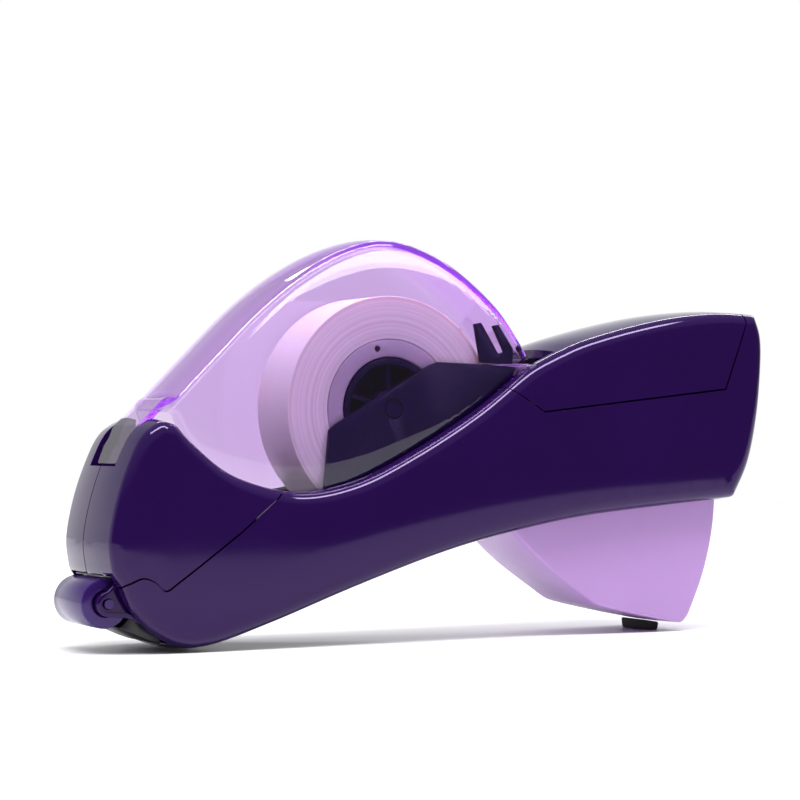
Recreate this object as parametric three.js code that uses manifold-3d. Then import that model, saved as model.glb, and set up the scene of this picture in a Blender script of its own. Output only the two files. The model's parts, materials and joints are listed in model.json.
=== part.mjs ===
// Hand-held tape dispenser with a squeeze trigger, a gear-driven feed roller, a press roller,
// a swinging cutter and a clear hinged cover over an 18 mm tape roll.
//
// Frame: millimetres, +Z up, origin on the floor under the middle of the bounding box.
// +X points to the handle end, -X to the nose, and Y = 0 is the plane of symmetry.
// Every pin, roller and gear turns about a line parallel to Y, so each is placed by a point [x, z].
import * as THREE from 'three';
import { mergeVertices } from 'three/addons/utils/BufferGeometryUtils.js';
import Module from 'manifold-3d';

const wasm = await Module();
wasm.setup();

// ---------------------------------------------------------------- driving dimensions
const BODY_WALL = 2;
const GEAR_BAY = 4.8;
const BODY_EDGE = 3;
const SPLIT_GAP = 0.3;
const FIT_GAP = 0.3;

const COVER_WALL = 1.7;
const COVER_EDGE = 2.4;
const COVER_SKIRT = 4;
const COVER_SIDE_GAP = 0.4;
const TAB_WIDTH = 16;

const TAPE_WIDTH = 18;
const ROLL_RADIUS = 27.4;
const CORE_OUTER = 17;
const CORE_INNER = 12.7;
const LEAD_THICKNESS = 0.25;

const PLATE_THICKNESS = 1.2;
const PLATE_SIDE_GAP = 0.5;

const TRIGGER_WALL = 1.8;
const TRIGGER_EDGE = 1.2;
const TRIGGER_REACH = 64.8;

const GEAR_MODULE = 0.8;
const GEAR_THICKNESS = 1.6;
const SECTOR_TEETH = 50;
const PINION_TEETH = 12;
const WHEEL_TEETH = 20;
const GEAR_SLACK = 0.1;

const FEED_RADIUS = 8;
const FEED_TYRE = 1.6;
const PRESS_RADIUS = 5.8;
const PRESS_OVERLAP = 0.9;
const ARM_THICKNESS = 2.2;
const BLADE_THICKNESS = 0.5;

const PIN_RADIUS = 1.5;
const GEAR_PIN_RADIUS = 1;
const HUB_AXLE_RADIUS = 2.2;
const HUB_WEB = 1.2;
const SCREW_RADIUS = 1.1;
const SCREW_HEAD_RADIUS = 2.3;
const SCREW_HEAD_DEPTH = 3.5;
const SCREW_HEAD_HEIGHT = 1.6;
const SCREW_TIP = 7;
const BOSS_RADIUS = 3;

// ---------------------------------------------------------------- places, as [x, z]
const ROLL_CENTRE = [-12.9, 56.4];
const TRIGGER_PIVOT = [14, 36];
const COVER_PIVOT = [24, 66];
const PRESS_CENTRE = [-86.3, 11.5];
const CUTTER_PIVOT = [-62, 36];
const SCREW_PLACES = [[-79.3, 37.5], [-50, 9], [83.4, 42.5], [85.2, 66], [22, 54]];

// ---------------------------------------------------------------- derived sizes
const PLATE_IN = TAPE_WIDTH / 2 + PLATE_SIDE_GAP;
const PLATE_OUT = PLATE_IN + PLATE_THICKNESS;
const INNER_HALF = PLATE_OUT + GEAR_BAY;
const HALF = INNER_HALF + BODY_WALL;
const SCREW_SEAT = HALF - SCREW_HEAD_DEPTH;
const COVER_HALF = PLATE_OUT + COVER_SIDE_GAP + COVER_WALL;
const SLOT_HALF = COVER_HALF + COVER_SIDE_GAP;
const WHEEL_OUT = INNER_HALF - COVER_SIDE_GAP;
const WHEEL_IN = WHEEL_OUT - GEAR_THICKNESS;
const TRIGGER_HALF = WHEEL_IN - 0.2;
const TAB_HALF = TAB_WIDTH / 2;

// ---------------------------------------------------------------- colours
const PURPLE = 0x220a4a;
const BLACK = 0x0d0b12;
const STEEL = 0xb8bac0;
const paint = (color, roughness, metalness = 0) =>
  new THREE.MeshStandardMaterial({ color, roughness, metalness });

// ---------------------------------------------------------------- helpers
const rad = (degrees) => degrees * Math.PI / 180;
const polar = ([x, z], radius, angle) => [x + radius * Math.cos(angle), z + radius * Math.sin(angle)];
const distance = (a, b) => Math.hypot(a[0] - b[0], a[1] - b[1]);

// A smooth run of points through the given ones; the last point is left to the next run.
function smooth(points, pieces) {
  const curve = new THREE.SplineCurve(points.map(([x, z]) => new THREE.Vector2(x, z)));
  return curve.getPoints(pieces).slice(0, -1).map((p) => [p.x, p.y]);
}

function arc(centre, radius, from, to, pieces) {
  const points = [];
  for (let i = 0; i <= pieces; i += 1) {
    points.push(polar(centre, radius, from + (to - from) * i / pieces));
  }
  return points;
}

// Moves each corner of a counter-clockwise outline inwards by an even distance.
function inset(points, amount) {
  const count = points.length;
  return points.map(([x, z], i) => {
    const before = points[(i + count - 1) % count];
    const after = points[(i + 1) % count];
    const a = new THREE.Vector2(x - before[0], z - before[1]).normalize();
    const b = new THREE.Vector2(after[0] - x, after[1] - z).normalize();
    const normal = new THREE.Vector2(-a.y - b.y, a.x + b.x).normalize();
    const reach = amount / Math.max(0.5, normal.dot(new THREE.Vector2(-a.y, a.x)));
    return [x + normal.x * reach, z + normal.y * reach];
  });
}

// Turns a closed geometry into a solid, with its faces pointing out.
function solid(geometry) {
  const plain = geometry.clone();
  plain.deleteAttribute('normal');
  plain.deleteAttribute('uv');
  const merged = mergeVertices(plain, 1e-4);
  const positions = merged.getAttribute('position');
  const index = Array.from(merged.index.array);
  const at = (i) => new THREE.Vector3().fromBufferAttribute(positions, i);
  let volume = 0;
  const triangles = [];
  for (let i = 0; i < index.length; i += 3) {
    const [a, b, c] = index.slice(i, i + 3);
    if (a !== b && b !== c && a !== c) {
      triangles.push(a, b, c);
      volume += at(a).dot(at(b).cross(at(c)));
    }
  }
  if (volume < 0) {
    triangles.reverse();
  }
  return new wasm.Manifold(new wasm.Mesh({
    numProp: 3,
    vertProperties: Float32Array.from(positions.array),
    triVerts: Uint32Array.from(triangles),
  }));
}

function geometryOf(manifold) {
  const mesh = manifold.getMesh();
  const geometry = new THREE.BufferGeometry();
  geometry.setAttribute('position', new THREE.BufferAttribute(mesh.vertProperties, 3));
  geometry.setIndex(new THREE.BufferAttribute(mesh.triVerts, 1));
  geometry.computeVertexNormals();
  return geometry;
}

// A side outline in X and Z made solid from Y = from to Y = to, its edges rounded by `edge`.
function slab(points, from, to, edge = 0, edgeSteps = 2) {
  const shape = new THREE.Shape(points.map(([x, z]) => new THREE.Vector2(x, z)));
  const geometry = new THREE.ExtrudeGeometry(shape, {
    depth: to - from - 2 * edge,
    steps: 1,
    bevelEnabled: edge > 0,
    bevelThickness: edge,
    bevelSize: edge,
    bevelOffset: -edge,
    bevelSegments: edgeSteps,
  });
  geometry.rotateX(Math.PI / 2);
  geometry.translate(0, to - edge, 0);
  return solid(geometry);
}

// A body of revolution about a line parallel to Y; the profile lists [radius, y].
function turned([x, z], profile, sides = 24) {
  const points = profile.map(([radius, y]) => new THREE.Vector2(radius, y));
  const geometry = new THREE.LatheGeometry(points, sides);
  geometry.translate(x, 0, z);
  return solid(geometry);
}

const rod = (centre, radius, from, to, sides = 20) =>
  turned(centre, [[0, from], [radius, from], [radius, to], [0, to]], sides);

const ring = (centre, inner, outer, from, to, sides = 32) =>
  turned(centre, [[inner, from], [outer, from], [outer, to], [inner, to], [inner, from]], sides);

function box(x0, x1, y0, y1, z0, z1) {
  const geometry = new THREE.BoxGeometry(x1 - x0, y1 - y0, z1 - z0);
  geometry.translate((x0 + x1) / 2, (y0 + y1) / 2, (z0 + z1) / 2);
  return solid(geometry);
}

// ---------------------------------------------------------------- gears
const pitchRadius = (teeth) => GEAR_MODULE * teeth / 2;
const PRESSURE = rad(20);
const involute = (angle) => Math.tan(angle) - angle;

// The flank points of one tooth centred on `centre` (an angle), from root to tip and back.
function tooth(teeth, centre) {
  const pitch = pitchRadius(teeth);
  const base = pitch * Math.cos(PRESSURE);
  const root = pitch - 1.1 * GEAR_MODULE;
  const tip = pitch + 0.75 * GEAR_MODULE;
  const halfAtPitch = Math.PI / (2 * teeth) - GEAR_SLACK / pitch;
  const radii = [root, Math.max(base, root + 0.2), pitch, tip];
  const flank = radii.map((radius) => {
    const angle = Math.acos(Math.min(1, base / radius));
    return [radius, halfAtPitch + involute(PRESSURE) - involute(angle)];
  });
  const rising = flank.map(([radius, half]) => [radius, centre - half]);
  const falling = flank.map(([radius, half]) => [radius, centre + half]).reverse();
  return [...rising, ...falling];
}

function gearOutline(centre, teeth, phase) {
  const points = [];
  for (let i = 0; i < teeth; i += 1) {
    points.push(...tooth(teeth, phase + 2 * Math.PI * i / teeth));
  }
  return points.map(([radius, angle]) => polar(centre, radius, angle));
}

function gear(centre, teeth, phase, from, to) {
  return slab(gearOutline(centre, teeth, phase), from, to);
}

// The phase that makes a gear's gap face the tooth of the gear that drives it.
function meshedPhase(phase, teeth, heading, nextTeeth) {
  const driven = pitchRadius(nextTeeth);
  const offset = (phase - heading) * pitchRadius(teeth);
  return heading + Math.PI - (offset + Math.PI * GEAR_MODULE / 2) / driven;
}

// Each step of the train: the heading to the next axis and the pair of gears that meet there.
const TRAIN = [
  { heading: rad(188), teeth: SECTOR_TEETH, next: PINION_TEETH },
  { heading: rad(204), teeth: WHEEL_TEETH, next: WHEEL_TEETH },
  { heading: rad(192.5), teeth: WHEEL_TEETH, next: WHEEL_TEETH },
  { heading: rad(186), teeth: WHEEL_TEETH, next: WHEEL_TEETH },
  { heading: rad(190), teeth: WHEEL_TEETH, next: PINION_TEETH },
];
const gearCentres = [];
const gearPhases = [];
let lastCentre = TRIGGER_PIVOT;
let lastPhase = TRAIN[0].heading;
TRAIN.forEach(({ heading, teeth, next }, i) => {
  const reach = pitchRadius(teeth) + pitchRadius(next) + GEAR_SLACK;
  lastCentre = polar(lastCentre, reach, heading);
  lastPhase = meshedPhase(lastPhase, teeth, heading, next);
  gearCentres.push(lastCentre);
  gearPhases.push(lastPhase);
  if (i === 0) {
    lastPhase = TRAIN[1].heading;
  }
});
const [COMPOUND_CENTRE, , , , FEED_CENTRE] = gearCentres;

// ---------------------------------------------------------------- side outlines
const RIM = [
  [29, 71], [21.4, 67], [7.4, 56.8], [-9, 47.2], [-25, 39.9], [-40.6, 37.5],
  [-55.9, 41.3], [-65.9, 48.5], [-70.6, 53.4],
];
const HEAD_TOP = [-75, 54.4];
const bodyOutline = [
  ...smooth([[-85.3, 15], [-83, 10.3], [-78.3, 5], [-72.6, 1.4], [-67.5, 0]], 8),
  ...smooth([[-67.5, 0], [-60, 1.1], [-45, 5.9], [-25, 13.1], [-3, 20.3], [14, 24.6], [36, 28.7],
    [60, 31.2], [83, 33.2]], 20),
  ...smooth([[83, 33.2], [87.8, 42.6], [90.7, 55], [92, 68], [91.8, 76], [89.6, 82]], 9),
  ...smooth([[89.6, 82], [78, 82.3], [65, 81], [52, 78.4], [38, 74.6], [29, 71]], 9),
  ...smooth(RIM, 22),
  RIM.at(-1),
  ...smooth([HEAD_TOP, [-80, 50.6], [-83.8, 43], [-86.6, 34.5], [-88.2, 25.5], [-87.3, 17.9]], 12),
  [-87.3, 17.9],
];
const NOSE_SPLIT = [
  [-85.3, 15], ...smooth([[-83.6, 16.2], [-80, 17.6], [-77, 16.6], [-74.4, 14.6], [-71, 16.7]], 9),
  [-66, 20.2], [-56, 27.5], [-44.2, 37.2],
];
const CAP_SEAM = [[14.9, 62.3], [25.4, 56], [78.5, 62], [85, 78.6]];

// ---------------------------------------------------------------- housing
const bodyShell = (() => {
  const outer = slab(bodyOutline, -HALF, HALF, BODY_EDGE);
  const cavity = slab(inset(bodyOutline, BODY_WALL), -INNER_HALF, INNER_HALF);
  const rimFloor = smooth(RIM, 24).map(([x, z]) => [x, z - COVER_SKIRT - 1]);
  const slot = slab([[30.5, 120], [-71.6, 120], [-71.6, 48.6], ...rimFloor.filter(([x]) => x > -70).reverse(),
    [30.5, 62]], -SLOT_HALF, SLOT_HALF);
  const tabHalf = TAB_HALF + COVER_SIDE_GAP;
  const notch = slab([[-95, 42.9], [-78, 42.9], [-70, 52], [-70, 62], [-95, 62]], -tabHalf, tabHalf);
  const mouth = slab([[-95, 18.2], [-81.5, 18.2], [-72.2, 8], [-72.2, -3], [-95, -3]],
    -SLOT_HALF, SLOT_HALF);
  const rear = TRIGGER_PIVOT[0] + TRIGGER_REACH + 1.4;
  const opening = slab([[15.2, 18], [rear, 18], [rear, 38], [15.2, 33]],
    -TRIGGER_HALF - 0.6, TRIGGER_HALF + 0.6);
  return outer.subtract(cavity).subtract(slot).subtract(notch).subtract(mouth).subtract(opening);
})();

const lowered = (points, dx, dz) => points.map(([x, z]) => [x + dx, z + dz]);
const noseRegion = (points) => slab([...points, [-44.2, 75], [-100, 75], [-100, points[0][1]]], -20, 20);
const capRegion = (points) => slab([...points, [85, 95], [14.9, 95]], -20, 20);
const leftSide = box(-120, 120, -30, -SPLIT_GAP / 2, -20, 120);
const rightSide = box(-120, 120, SPLIT_GAP / 2, 30, -20, 120);

// Screw bosses reach from a side wall to the middle; the right one takes the screw head.
function screwBoss(place, side) {
  const reach = [SPLIT_GAP / 2, HALF - 1].map((y) => y * side).sort((a, b) => a - b);
  return rod(place, BOSS_RADIUS, ...reach);
}
const screwHole = (place) => rod(place, SCREW_RADIUS + FIT_GAP, -SCREW_TIP - 2, HALF + 1)
  .add(rod(place, SCREW_HEAD_RADIUS + FIT_GAP, SCREW_SEAT - FIT_GAP, HALF + 1));
const pinBoss = (side) => {
  const reach = [TRIGGER_HALF + 0.3, HALF - 1].map((y) => y * side).sort((a, b) => a - b);
  return rod(TRIGGER_PIVOT, PIN_RADIUS + 2.2, ...reach);
};
const pinHole = rod(TRIGGER_PIVOT, PIN_RADIUS + FIT_GAP, -INNER_HALF, INNER_HALF);

const noseShell = bodyShell.intersect(noseRegion(NOSE_SPLIT));
const lowerShell = bodyShell
  .subtract(noseRegion(lowered(NOSE_SPLIT, SPLIT_GAP / 2, -SPLIT_GAP)))
  .subtract(capRegion([[14.9 - SPLIT_GAP, 62.2], [25.3, 56 - SPLIT_GAP], [78.8, 62 - SPLIT_GAP],
    [85 + SPLIT_GAP, 78.4]]));

function shellHalf(shell, half, side, places) {
  let piece = shell.intersect(half);
  places.forEach((place) => {
    piece = piece.add(screwBoss(place, side));
  });
  places.forEach((place) => {
    piece = piece.subtract(screwHole(place));
  });
  return piece;
}
const noseScrews = SCREW_PLACES.slice(0, 1);
const bodyScrews = SCREW_PLACES.slice(1);
const handleCap = bodyShell.intersect(capRegion(CAP_SEAM))
  .subtract(rod(COVER_PIVOT, PIN_RADIUS + FIT_GAP, -INNER_HALF, INNER_HALF));

// ---------------------------------------------------------------- clear cover
const coverTop = smooth([[25.6, 68.9], [21.2, 75.4], [15.5, 82.5], [4.4, 91.3], [-6.5, 96.4],
  [-17, 97.8], [-27.7, 94.8], [-38.5, 88.8], [-49, 80.6], [-60, 69.9], [-72.6, 57.2]], 26);
const coverSkirt = smooth([[-69.4, 49.5], ...RIM.slice(1, -1).reverse()
  .map(([x, z]) => [x, z - COVER_SKIRT])], 18);
const clearCover = (() => {
  const outline = [...coverTop, [-72.6, 57.2], ...coverSkirt, [21, 62], [29, 64.8]];
  const outer = slab(outline, -COVER_HALF, COVER_HALF, COVER_EDGE);
  const floor = coverSkirt.map(([x, z]) => [x, z - 12]);
  const roof = inset([...coverTop, [-72.6, 57.2], [-60, 20], [20, 20]], COVER_WALL);
  const inside = slab([...roof.slice(0, coverTop.length - 1), [-76, 50], ...floor, [24, 50]],
    -COVER_HALF + COVER_WALL, COVER_HALF - COVER_WALL);
  const tab = slab([[-68.5, 60.6], [-71.6, 58.4], [-77.8, 52.3], [-80.6, 47.9], [-82.5, 43.4],
    [-81, 42.9 + FIT_GAP], [-79.1, 47.2], [-76.4, 51.2], [-72.6, 55.2], [-67.5, 58.8]],
  -TAB_HALF, TAB_HALF);
  const knuckle = rod(COVER_PIVOT, PIN_RADIUS + 1.6, -COVER_HALF, COVER_HALF);
  const bore = rod(COVER_PIVOT, PIN_RADIUS + FIT_GAP, -COVER_HALF - 1, COVER_HALF + 1);
  return outer.subtract(inside).add(tab).add(knuckle).subtract(bore);
})();

// ---------------------------------------------------------------- inner frame
const plateOutline = [
  [-78, 13.5], [-66, 13.2], [-45, 13.2], [-25, 17.6], [-5, 23.6], [6, 27.2], [7.2, 34], [15, 45.5],
  [17.5, 50], [17.5, 60], [21, 66.9], [12, 67.5], [-0.9, 67.9], [-3.1, 67.1], [-28.4, 52.7],
  [-30, 51.3], [-30.6, 45.3], [-31.8, 33.6], [-56, 33], [-57.5, 39], [-66, 39], [-68, 31],
  [-76, 30], [-78.5, 24],
];
function framePlate(side) {
  const faces = [PLATE_IN, PLATE_OUT].map((y) => y * side).sort((a, b) => a - b);
  let plate = slab(plateOutline, ...faces)
    .subtract(rod(ROLL_CENTRE, HUB_AXLE_RADIUS + FIT_GAP, -20, 20))
    .subtract(rod(FEED_CENTRE, PIN_RADIUS + FIT_GAP, -20, 20))
    .subtract(rod(CUTTER_PIVOT, PIN_RADIUS + FIT_GAP, -20, 20));
  if (side > 0) {
    gearCentres.slice(0, 4).forEach((centre) => {
      plate = plate.subtract(rod(centre, GEAR_PIN_RADIUS + FIT_GAP, -20, 20));
    });
  }
  return plate;
}

// Two slanted prongs on a foot, standing on the plate behind the roll.
function rollStop(side) {
  const faces = [PLATE_IN, PLATE_OUT].map((y) => y * side).sort((a, b) => a - b);
  return slab([[11, 67.9], [20, 67.6], [20.2, 71.4], [16, 77.4], [14.4, 77], [17.6, 70.6],
    [16, 70.2], [11.2, 77.8], [9.2, 77.4]], ...faces);
}

// ---------------------------------------------------------------- spool
const HUB_RADIUS = CORE_INNER - FIT_GAP;
const tapeHub = (() => {
  const side = TAPE_WIDTH / 2 - 0.2;
  let hub = ring(ROLL_CENTRE, HUB_RADIUS - 1.6, HUB_RADIUS, -side, side, 40)
    .add(ring(ROLL_CENTRE, HUB_AXLE_RADIUS + FIT_GAP, 4.4, -side, side, 24))
    .add(ring(ROLL_CENTRE, 4, HUB_RADIUS - 0.8, -HUB_WEB / 2, HUB_WEB / 2, 40));
  const spokes = 5;
  for (let i = 0; i < spokes; i += 1) {
    const angle = 2 * Math.PI * i / spokes + rad(90);
    const from = polar(ROLL_CENTRE, 3.6, angle);
    const to = polar(ROLL_CENTRE, HUB_RADIUS - 0.8, angle);
    const across = [0.6 * Math.sin(angle), -0.6 * Math.cos(angle)];
    const corners = [[from, 1], [to, 1], [to, -1], [from, -1]]
      .map(([[x, z], sign]) => [x + sign * across[0], z + sign * across[1]]);
    hub = hub.add(slab(corners, -side + 1, side - 1));
  }
  return hub;
})();
const tapeCore = ring(ROLL_CENTRE, CORE_INNER, CORE_OUTER, -TAPE_WIDTH / 2, TAPE_WIDTH / 2, 40)
  .subtract(rod(polar(ROLL_CENTRE, 15, rad(104)), 0.7, -TAPE_WIDTH, TAPE_WIDTH, 10));
const tapeRoll = ring(ROLL_CENTRE, CORE_OUTER + FIT_GAP, ROLL_RADIUS, -TAPE_WIDTH / 2,
  TAPE_WIDTH / 2, 56);

// The strip leaves the roll at its foot, passes under the feed roller and over the press roller.
const tapeLead = (() => {
  const gap = FIT_GAP + LEAD_THICKNESS / 2;
  const rollRadius = ROLL_RADIUS + gap;
  const feedRadius = FEED_RADIUS + gap;
  const pressRadius = PRESS_RADIUS + gap;
  const heading = (from, to) => Math.atan2(to[1] - from[1], to[0] - from[0]);
  const first = heading(ROLL_CENTRE, FEED_CENTRE)
    - Math.asin((rollRadius - feedRadius) / distance(ROLL_CENTRE, FEED_CENTRE));
  const second = heading(FEED_CENTRE, PRESS_CENTRE)
    - Math.asin((feedRadius + pressRadius) / distance(FEED_CENTRE, PRESS_CENTRE));
  const side = Math.PI / 2;
  const path = [
    polar(ROLL_CENTRE, rollRadius, first + side),
    ...arc(FEED_CENTRE, feedRadius, first + side, second + side, 4),
    ...arc(PRESS_CENTRE, pressRadius, second - side, second - side + rad(35), 3),
  ];
  const half = LEAD_THICKNESS / 2;
  const upper = inset([...path, [-120, 60], [60, 60]], half).slice(0, path.length);
  const lower = inset([...path, [-120, 60], [60, 60]], -half).slice(0, path.length);
  return slab([...upper, ...lower.reverse()], -TAPE_WIDTH / 2, TAPE_WIDTH / 2);
})();

// ---------------------------------------------------------------- trigger
const trigger = (() => {
  const rearArc = arc(TRIGGER_PIVOT, TRIGGER_REACH, rad(-24), rad(2.2), 7);
  const outline = [
    [19, 25.4], [28, 17.4], [40.6, 8.6], [43.6, 7], [55.2, 4.3], [64.2, 2.5], [68.6, 1.9], [70.6, 4],
    ...rearArc, [60, 38], [30, 38], [19.5, 40.4],
    ...arc(TRIGGER_PIVOT, 5.6, rad(50), rad(215), 8),
  ];
  const outer = slab(outline, -TRIGGER_HALF, TRIGGER_HALF, TRIGGER_EDGE);
  const inner = inset(outline, TRIGGER_WALL);
  const inside = TRIGGER_HALF - TRIGGER_WALL;
  const rear = inner[7 + rearArc.length][0];
  const cavity = slab([...inner.slice(0, 8 + rearArc.length), [rear, 60], [-6, 60], [-6, 33],
    [11.5, 32.8]], -inside, inside);
  const pivotAngle = TRAIN[0].heading;
  const teeth = [0, 1, 2, 3, 4].map((i) => pivotAngle - 2 * Math.PI * i / SECTOR_TEETH).reverse();
  const edge = teeth.flatMap((angle) => tooth(SECTOR_TEETH, angle))
    .map(([radius, angle]) => polar(TRIGGER_PIVOT, radius, angle));
  const sector = slab([...edge, polar(TRIGGER_PIVOT, 3, rad(240)), polar(TRIGGER_PIVOT, 3, rad(100))],
    inside, TRIGGER_HALF);
  return outer.subtract(cavity).add(sector)
    .subtract(rod(TRIGGER_PIVOT, PIN_RADIUS + FIT_GAP, -20, 20));
})();

const triggerFoot = slab([[61.9, 0], [65.4, 0], [65.8, 2], [61.6, 2.7]], -6, 6);

// A coil of wire about a Y line with two straight legs that leave along the given angles.
function torsionSpring(centre, radius, wire, from, to, turns, legs) {
  const steps = turns * 10;
  const points = [];
  const at = ([x, z], y) => new THREE.Vector3(x, y, z);
  points.push(at(polar(polar(centre, radius, legs[0].from), legs[0].length, legs[0].along), from));
  for (let i = 0; i <= steps; i += 1) {
    const angle = legs[0].from + (turns * 2 * Math.PI + legs[1].from - legs[0].from) * i / steps;
    points.push(at(polar(centre, radius, angle), from + (to - from) * i / steps));
  }
  points.push(at(polar(polar(centre, radius, legs[1].from), legs[1].length, legs[1].along), to));
  const curve = new THREE.CatmullRomCurve3(points, false, 'catmullrom', 0.2);
  const section = new THREE.Shape(arc([0, 0], wire / 2, 0, 2 * Math.PI * 5 / 6, 5)
    .map(([x, y]) => new THREE.Vector2(x, y)));
  return solid(new THREE.ExtrudeGeometry(section, {
    steps: points.length + 6,
    extrudePath: curve,
    bevelEnabled: false,
  }));
}
const triggerSpring = torsionSpring(TRIGGER_PIVOT, 3.4, 0.9, -8, -4.2, 3, [
  { from: rad(-90), along: rad(-12), length: 12 },
  { from: rad(0), along: rad(78), length: 14.5 },
]);
const cutterSpring = torsionSpring(CUTTER_PIVOT, 3, 0.6, 3, 5.6, 3, [
  { from: rad(90), along: rad(12), length: 6 },
  { from: rad(90), along: rad(196), length: 6 },
]);

// ---------------------------------------------------------------- gears and rollers
const compoundGear = gear(COMPOUND_CENTRE, PINION_TEETH, gearPhases[0], PLATE_OUT + 0.5, WHEEL_IN + 0.2)
  .add(gear(COMPOUND_CENTRE, WHEEL_TEETH, TRAIN[1].heading, WHEEL_IN, WHEEL_OUT))
  .subtract(rod(COMPOUND_CENTRE, GEAR_PIN_RADIUS + FIT_GAP, 0, 20, 14));
const idlerGears = [1, 2, 3].map((i) =>
  gear(gearCentres[i], WHEEL_TEETH, gearPhases[i], WHEEL_IN, WHEEL_OUT)
    .subtract(rod(gearCentres[i], GEAR_PIN_RADIUS + FIT_GAP, 0, 20, 14)));
const gearPins = gearCentres.slice(0, 4).map((centre) =>
  rod(centre, GEAR_PIN_RADIUS, PLATE_IN, WHEEL_OUT, 14));
const feedPinion = gear(FEED_CENTRE, PINION_TEETH, gearPhases[4], WHEEL_IN, WHEEL_OUT)
  .subtract(rod(FEED_CENTRE, PIN_RADIUS + FIT_GAP, 0, 20, 16));
const feedAxle = rod(FEED_CENTRE, PIN_RADIUS, -PLATE_OUT - 1, WHEEL_OUT, 20);
const feedSide = TAPE_WIDTH / 2 - 0.4;
const feedCore = ring(FEED_CENTRE, PIN_RADIUS + FIT_GAP, FEED_RADIUS - FEED_TYRE - FIT_GAP,
  -feedSide, feedSide, 28);
const feedTyre = ring(FEED_CENTRE, FEED_RADIUS - FEED_TYRE, FEED_RADIUS, -feedSide, feedSide, 36);

const pressSide = TAPE_WIDTH / 2 + PRESS_OVERLAP;
const pressRoller = turned(PRESS_CENTRE, [
  [PIN_RADIUS + FIT_GAP - 0.4, -pressSide + 0.8], [3, -pressSide + 0.8], [3, -pressSide],
  [PRESS_RADIUS - 0.5, -pressSide], [PRESS_RADIUS, -pressSide + 0.5], [PRESS_RADIUS, pressSide - 0.5],
  [PRESS_RADIUS - 0.5, pressSide], [3, pressSide], [3, pressSide - 0.8],
  [PIN_RADIUS + FIT_GAP - 0.4, pressSide - 0.8], [PIN_RADIUS + FIT_GAP - 0.4, -pressSide + 0.8],
], 36);
const ARM_IN = pressSide + 0.4;
const pressAxle = rod(PRESS_CENTRE, PIN_RADIUS - 0.4, -ARM_IN - ARM_THICKNESS, ARM_IN + ARM_THICKNESS, 16);
function rollerArm(side) {
  const faces = [ARM_IN, ARM_IN + ARM_THICKNESS].map((y) => y * side).sort((a, b) => a - b);
  const outline = [...arc(PRESS_CENTRE, 2.9, rad(100), rad(260), 8), [-82, 8.2], [-75.4, 5.6],
    [-74.4, 9], [-79.3, 13], [-82, 16.3], [-84.6, 16.4]];
  return slab(outline, ...faces, 0.5, 1)
    .subtract(rod(PRESS_CENTRE, PIN_RADIUS - 0.4 + FIT_GAP - 0.1, -20, 20, 16));
}
const noseBlock = slab([...arc(PRESS_CENTRE, PRESS_RADIUS + 0.7, rad(-62), rad(-4), 5), [-77, 11.2],
  [-73.4, 8.6], [-72.6, 2.4], [-73, 1.7], [-76, 2.7], [-79.4, 4.2]], -pressSide - 0.1, pressSide + 0.1);

// ---------------------------------------------------------------- cutter
const CUTTER_HALF = TAPE_WIDTH / 2 - 0.4;
const cutterCarrier = slab([
  ...arc(CUTTER_PIVOT, 2.8, rad(-60), rad(100), 6), [-78.2, 33.4], [-81.6, 23], [-81.6, 19.6],
  [-80, 19.6], [-79.8, 23], [-76.8, 30.2], [-64, 33.8],
], -CUTTER_HALF, CUTTER_HALF).subtract(rod(CUTTER_PIVOT, PIN_RADIUS + FIT_GAP, -20, 20))
  .subtract(box(-68, -58, 2, 6.6, 30, 42));
const cutterBlade = (() => {
  const teeth = 12;
  const pitch = 2 * CUTTER_HALF / teeth;
  const shape = new THREE.Shape();
  shape.moveTo(-CUTTER_HALF, 26);
  for (let i = 0; i < teeth; i += 1) {
    shape.lineTo(-CUTTER_HALF + i * pitch, 19);
    shape.lineTo(-CUTTER_HALF + (i + 0.5) * pitch, 18.1);
  }
  shape.lineTo(CUTTER_HALF, 19);
  shape.lineTo(CUTTER_HALF, 26);
  const geometry = new THREE.ExtrudeGeometry(shape, { depth: BLADE_THICKNESS, bevelEnabled: false });
  const turn = new THREE.Matrix4().makeBasis(new THREE.Vector3(0, 1, 0), new THREE.Vector3(0, 0, 1),
    new THREE.Vector3(1, 0, 0));
  geometry.applyMatrix4(turn);
  geometry.translate(-81.6 - FIT_GAP - BLADE_THICKNESS, 0, 0);
  return solid(geometry).subtract(slab([[-86, 24], [-78, 24], [-78, 30], [-86, 30]], -20, 20));
})();

// ---------------------------------------------------------------- the assembly
const dispenser = new THREE.Group();

function place(name, piece, material) {
  const mesh = new THREE.Mesh(geometryOf(piece), material);
  mesh.name = name;
  dispenser.add(mesh);
}

place('left_body_shell', shellHalf(lowerShell, leftSide, -1, bodyScrews).add(pinBoss(-1))
  .subtract(pinHole), paint(PURPLE, 0.15));
place('right_body_shell', shellHalf(lowerShell, rightSide, 1, bodyScrews).add(pinBoss(1))
  .subtract(pinHole), paint(PURPLE, 0.15));
place('left_nose_shell', shellHalf(noseShell, leftSide, -1, noseScrews), paint(PURPLE, 0.15));
place('right_nose_shell', shellHalf(noseShell, rightSide, 1, noseScrews), paint(PURPLE, 0.15));
place('handle_cap', handleCap, paint(PURPLE, 0.15));
place('clear_cover', clearCover, paint(0xcba8f2, 0.08));
place('cover_hinge_pin', rod(COVER_PIVOT, PIN_RADIUS, -INNER_HALF + 0.3, INNER_HALF - 0.3),
  paint(STEEL, 0.3, 1));
place('left_frame_plate', framePlate(-1), paint(0x2a1260, 0.4));
place('right_frame_plate', framePlate(1), paint(0x2a1260, 0.4));
place('left_roll_stop', rollStop(-1), paint(0x2a1260, 0.4));
place('right_roll_stop', rollStop(1), paint(0x2a1260, 0.4));
place('hub_axle', rod(ROLL_CENTRE, HUB_AXLE_RADIUS, -PLATE_OUT, PLATE_OUT), paint(BLACK, 0.5));
place('tape_hub', tapeHub, paint(0x1c0d3c, 0.45));
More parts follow.
